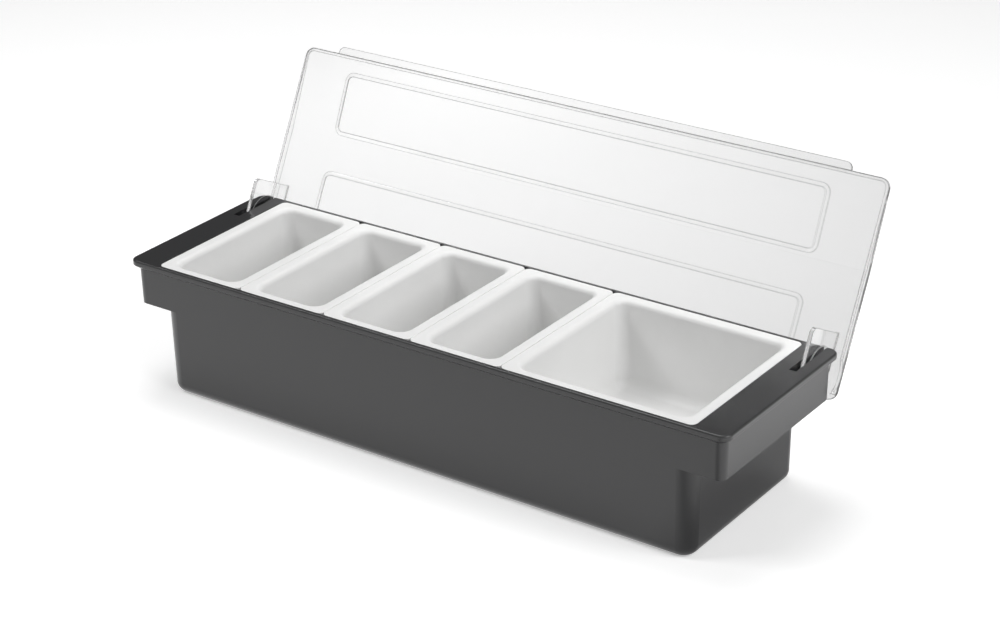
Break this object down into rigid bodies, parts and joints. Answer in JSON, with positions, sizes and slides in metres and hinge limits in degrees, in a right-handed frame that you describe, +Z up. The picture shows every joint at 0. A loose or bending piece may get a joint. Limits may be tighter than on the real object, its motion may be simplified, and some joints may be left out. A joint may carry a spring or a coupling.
{
  "type": "condiment caddy",
  "caption": "Long bar caddy: a tray with end hand-holds, a row of lift-out inserts and a clear hinged lid over them all.",
  "frame": {"origin": "middle of the flat underside of the tray's tub, where it rests", "axes": "+X along the row of inserts towards the double one, +Y towards the hinged back, +Z up"},
  "size_m": [0.502, 0.2175, 0.2075],
  "materials": {
    "black_tray": "moulded plastic, low sheen",
    "white_insert": "moulded plastic, soft gloss",
    "clear_lid": "clear moulded plastic, polished"
  },
  "bodies": {
    "tray": {"base_tray": "black_tray"},
    "single_insert_1": {"single_insert_1": "white_insert"},
    "single_insert_2": {"single_insert_2": "white_insert"},
    "single_insert_3": {"single_insert_3": "white_insert"},
    "single_insert_4": {"single_insert_4": "white_insert"},
    "double_insert": {"double_insert": "white_insert"},
    "lid": {"lid": "clear_lid"}
  },
  "joints": [
    {"name": "lid_hinge", "type": "hinge", "parent": "tray", "child": "lid", "pos_m": [0, 0.0635, 0.0883], "axis": [1, 0, 0], "range_deg": [0, 117.5]},
    {"name": "single_insert_1_lift", "type": "slide", "parent": "tray", "child": "single_insert_1", "axis": [0, 0, -1], "range_m": [-0.075, 0]},
    {"name": "single_insert_2_lift", "type": "slide", "parent": "tray", "child": "single_insert_2", "axis": [0, 0, -1], "range_m": [-0.075, 0]},
    {"name": "single_insert_3_lift", "type": "slide", "parent": "tray", "child": "single_insert_3", "axis": [0, 0, -1], "range_m": [-0.075, 0]},
    {"name": "single_insert_4_lift", "type": "slide", "parent": "tray", "child": "single_insert_4", "axis": [0, 0, -1], "range_m": [-0.075, 0]},
    {"name": "double_insert_lift", "type": "slide", "parent": "tray", "child": "double_insert", "axis": [0, 0, -1], "range_m": [-0.075, 0]}
  ]
}
